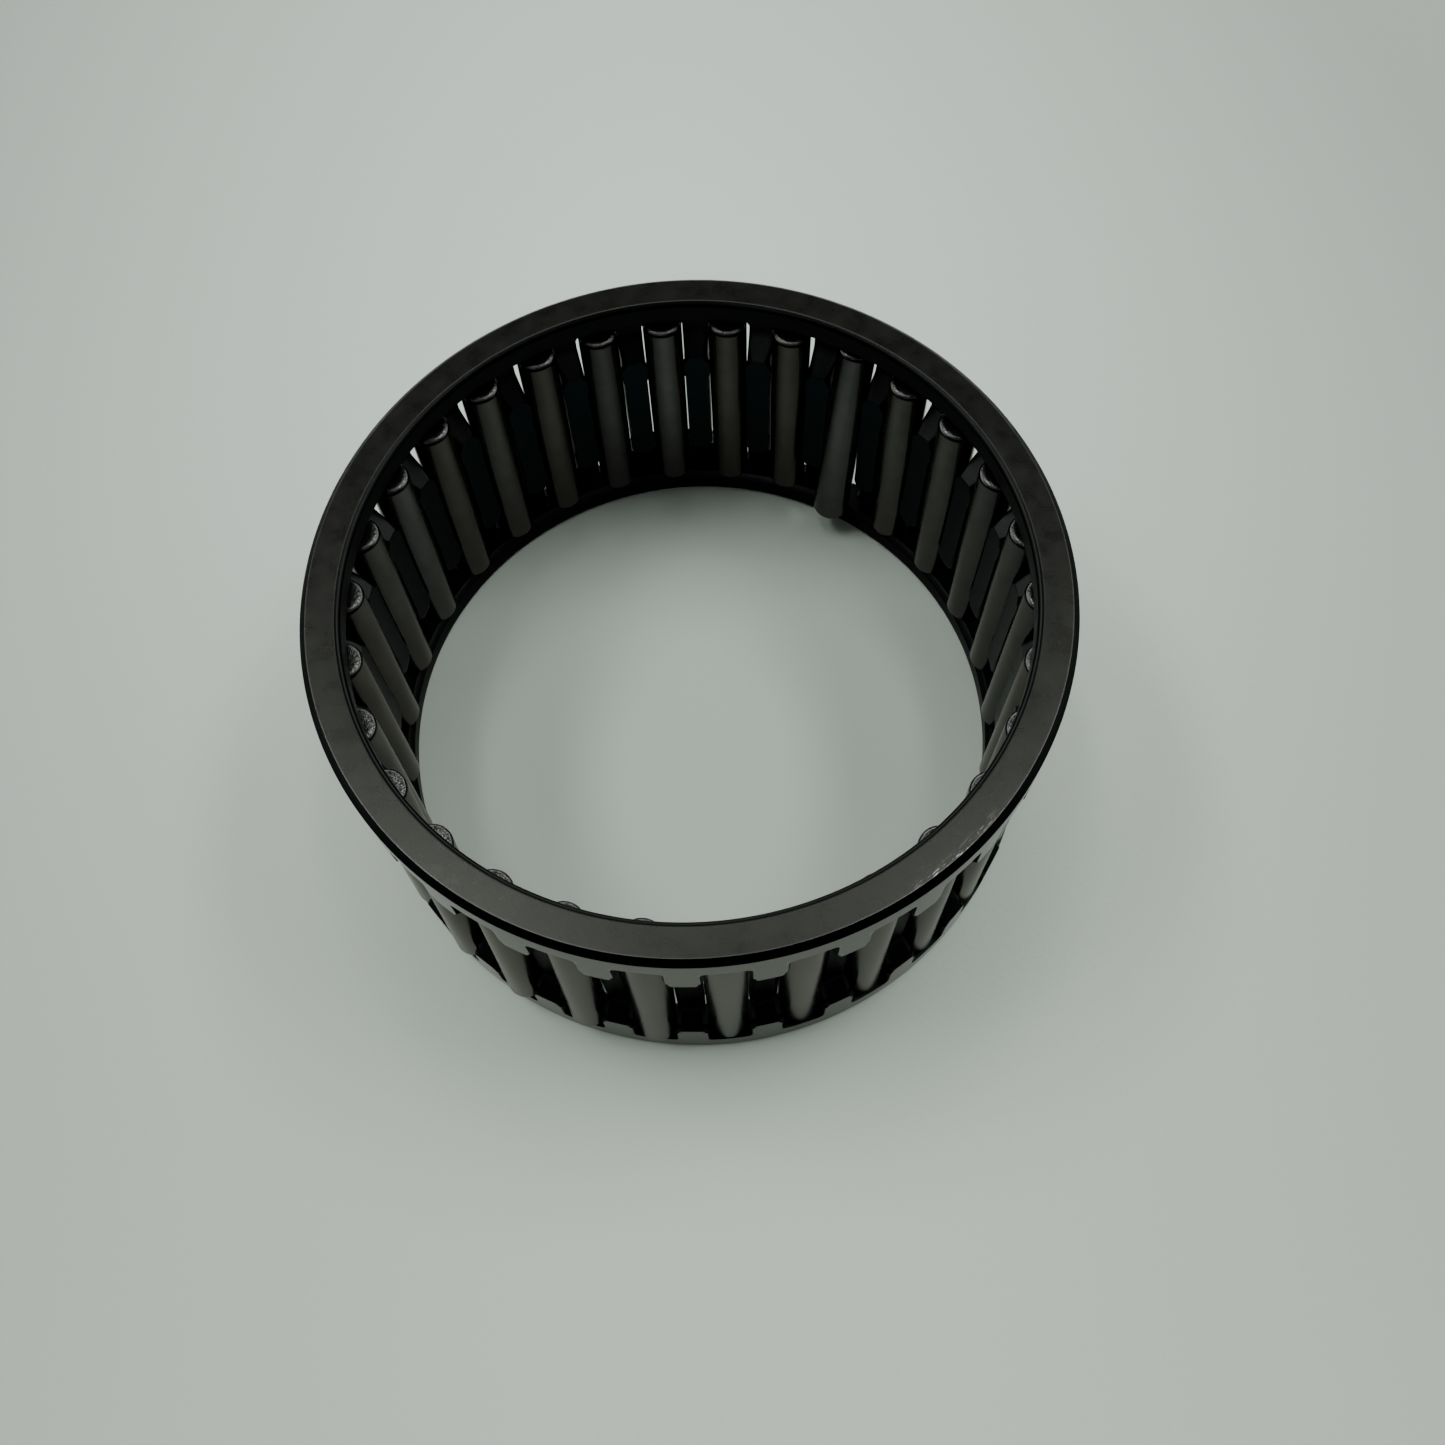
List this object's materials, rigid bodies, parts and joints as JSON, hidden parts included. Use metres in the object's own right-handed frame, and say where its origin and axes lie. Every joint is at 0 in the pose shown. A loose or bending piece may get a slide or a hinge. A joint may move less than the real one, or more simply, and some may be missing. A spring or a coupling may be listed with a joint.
{
  "type": "needle roller and cage assembly",
  "caption": "Needle roller bearing without rings: a steel cage of M section whose long pockets each hold a loose needle roller.",
  "frame": {"origin": "centre of the cage's lower end face, on the bearing axis", "axes": "+Z along the bearing axis, upwards; +X to the right and +Y to the back as seen from the front; an unslipped needle stands 6.5 degrees anticlockwise of +X"},
  "size_m": [0.0696, 0.0696, 0.0336],
  "materials": {
    "cage_steel": "hardened steel cage, dark satin with machining marks, glossy turned outside",
    "needle_steel": "hardened bearing steel, finely ground and polished sides, rougher flat ends"
  },
  "bodies": {
    "cage": {"cage": "cage_steel"},
    "needle_01": {"needle_01": "needle_steel"},
    "needle_02": {"needle_02": "needle_steel"},
    "needle_03": {"needle_03": "needle_steel"},
    "needle_04": {"needle_04": "needle_steel"},
    "needle_05": {"needle_05": "needle_steel"},
    "needle_06": {"needle_06": "needle_steel"},
    "needle_07": {"needle_07": "needle_steel"},
    "needle_08": {"needle_08": "needle_steel"},
    "needle_09": {"needle_09": "needle_steel"},
    "needle_10": {"needle_10": "needle_steel"},
    "needle_11": {"needle_11": "needle_steel"},
    "needle_12": {"needle_12": "needle_steel"},
    "needle_13": {"needle_13": "needle_steel"},
    "needle_14": {"needle_14": "needle_steel"},
    "needle_15": {"needle_15": "needle_steel"},
    "needle_16": {"needle_16": "needle_steel"},
    "needle_17": {"needle_17": "needle_steel"},
    "needle_18": {"needle_18": "needle_steel"},
    "needle_19": {"needle_19": "needle_steel"},
    "needle_20": {"needle_20": "needle_steel"},
    "needle_21": {"needle_21": "needle_steel"},
    "needle_22": {"needle_22": "needle_steel"},
    "needle_23": {"needle_23": "needle_steel"},
    "needle_24": {"needle_24": "needle_steel"},
    "needle_25": {"needle_25": "needle_steel"},
    "needle_26": {"needle_26": "needle_steel"},
    "needle_27": {"needle_27": "needle_steel"},
    "needle_28": {"needle_28": "needle_steel"},
    "needle_29": {"needle_29": "needle_steel"},
    "needle_30": {"needle_30": "needle_steel"}
  },
  "joints": [
    {"name": "needle_01_spin", "type": "hinge", "parent": "cage", "child": "needle_01", "pos_m": [0.03239, 0.00369, 0.00314], "axis": [-0.0065, -0.0007, 1], "continuous": true},
    {"name": "needle_02_spin", "type": "hinge", "parent": "cage", "child": "needle_02", "pos_m": [0.03092, 0.01034, 0.00314], "axis": [-0.0133, -0.0044, 0.9999], "continuous": true},
    {"name": "needle_03_spin", "type": "hinge", "parent": "cage", "child": "needle_03", "pos_m": [0.02809, 0.01655, 0.00314], "axis": [-0.0166, -0.0098, 0.9998], "continuous": true},
    {"name": "needle_04_spin", "type": "hinge", "parent": "cage", "child": "needle_04", "pos_m": [0.02404, 0.02202, 0.00314], "axis": [-0.0158, -0.0145, 0.9998], "continuous": true},
    {"name": "needle_05_spin", "type": "hinge", "parent": "cage", "child": "needle_05", "pos_m": [0.01756, 0.02482, 0.00326], "axis": [0.0591, 0.0708, 0.9957], "continuous": true},
    {"name": "needle_06_spin", "type": "hinge", "parent": "cage", "child": "needle_06", "pos_m": [0.013, 0.0299, 0.00314], "axis": [-0.0088, -0.0202, 0.9998], "continuous": true},
    {"name": "needle_07_spin", "type": "hinge", "parent": "cage", "child": "needle_07", "pos_m": [0.0065, 0.03195, 0.00314], "axis": [-0.0044, -0.0216, 0.9998], "continuous": true},
    {"name": "needle_08_spin", "type": "hinge", "parent": "cage", "child": "needle_08", "pos_m": [-0.00028, 0.0326, 0.00314], "axis": [0.0002, -0.0221, 0.9998], "continuous": true},
    {"name": "needle_09_spin", "type": "hinge", "parent": "cage", "child": "needle_09", "pos_m": [-0.00706, 0.03183, 0.00314], "axis": [0.0048, -0.0215, 0.9998], "continuous": true},
    {"name": "needle_10_spin", "type": "hinge", "parent": "cage", "child": "needle_10", "pos_m": [-0.01352, 0.02966, 0.00314], "axis": [0.0091, -0.0201, 0.9998], "continuous": true},
    {"name": "needle_11_spin", "type": "hinge", "parent": "cage", "child": "needle_11", "pos_m": [-0.01939, 0.02621, 0.00314], "axis": [0.0131, -0.0177, 0.9998], "continuous": true},
    {"name": "needle_12_spin", "type": "hinge", "parent": "cage", "child": "needle_12", "pos_m": [-0.02442, 0.0216, 0.00314], "axis": [0.0165, -0.0146, 0.9998], "continuous": true},
    {"name": "needle_13_spin", "type": "hinge", "parent": "cage", "child": "needle_13", "pos_m": [-0.02837, 0.01605, 0.00314], "axis": [0.0192, -0.0109, 0.9998], "continuous": true},
    {"name": "needle_14_spin", "type": "hinge", "parent": "cage", "child": "needle_14", "pos_m": [-0.03109, 0.0098, 0.00314], "axis": [0.021, -0.0066, 0.9998], "continuous": true},
    {"name": "needle_15_spin", "type": "hinge", "parent": "cage", "child": "needle_15", "pos_m": [-0.03245, 0.00312, 0.00314], "axis": [0.022, -0.0021, 0.9998], "continuous": true},
    {"name": "needle_16_spin", "type": "hinge", "parent": "cage", "child": "needle_16", "pos_m": [-0.03239, -0.00369, 0.00314], "axis": [0.0219, 0.0025, 0.9998], "continuous": true},
    {"name": "needle_17_spin", "type": "hinge", "parent": "cage", "child": "needle_17", "pos_m": [-0.03092, -0.01034, 0.00314], "axis": [0.0209, 0.007, 0.9998], "continuous": true},
    {"name": "needle_18_spin", "type": "hinge", "parent": "cage", "child": "needle_18", "pos_m": [-0.02843, -0.01675, 0.00314], "axis": [0.0317, 0.0187, 0.9993], "continuous": true},
    {"name": "needle_19_spin", "type": "hinge", "parent": "cage", "child": "needle_19", "pos_m": [-0.02448, -0.02243, 0.00314], "axis": [0.0325, 0.0298, 0.999], "continuous": true},
    {"name": "needle_20_spin", "type": "hinge", "parent": "cage", "child": "needle_20", "pos_m": [-0.01934, -0.02711, 0.00314], "axis": [0.0278, 0.0389, 0.9989], "continuous": true},
    {"name": "needle_21_spin", "type": "hinge", "parent": "cage", "child": "needle_21", "pos_m": [-0.01326, -0.03049, 0.00314], "axis": [0.0183, 0.0421, 0.9989], "continuous": true},
    {"name": "needle_22_spin", "type": "hinge", "parent": "cage", "child": "needle_22", "pos_m": [-0.00661, -0.03248, 0.00314], "axis": [0.0084, 0.0414, 0.9991], "continuous": true},
    {"name": "needle_23_spin", "type": "hinge", "parent": "cage", "child": "needle_23", "pos_m": [0.00029, -0.03275, 0.00314], "axis": [-0.0001, 0.0165, 0.9999], "continuous": true},
    {"name": "needle_24_spin", "type": "hinge", "parent": "cage", "child": "needle_24", "pos_m": [0.00706, -0.03183, 0.00314], "axis": [-0.0019, 0.0087, 1], "continuous": true},
    {"name": "needle_25_spin", "type": "hinge", "parent": "cage", "child": "needle_25", "pos_m": [0.01352, -0.02966, 0.00314], "axis": [-0.0039, 0.0086, 1], "continuous": true},
    {"name": "needle_26_spin", "type": "hinge", "parent": "cage", "child": "needle_26", "pos_m": [0.01939, -0.02621, 0.00314], "axis": [-0.0099, 0.0133, 0.9999], "continuous": true},
    {"name": "needle_27_spin", "type": "hinge", "parent": "cage", "child": "needle_27", "pos_m": [0.02442, -0.0216, 0.00314], "axis": [-0.0073, 0.0065, 1], "continuous": true},
    {"name": "needle_28_spin", "type": "hinge", "parent": "cage", "child": "needle_28", "pos_m": [0.02837, -0.01605, 0.00314], "axis": [-0.0021, 0.0012, 1], "continuous": true},
    {"name": "needle_29_spin", "type": "hinge", "parent": "cage", "child": "needle_29", "pos_m": [0.03109, -0.0098, 0.00314], "axis": [0.0016, -0.0005, 1], "continuous": true},
    {"name": "needle_30_spin", "type": "hinge", "parent": "cage", "child": "needle_30", "pos_m": [0.03245, -0.00312, 0.00314], "axis": [-0.0001, 0, 1], "continuous": true}
  ]
}
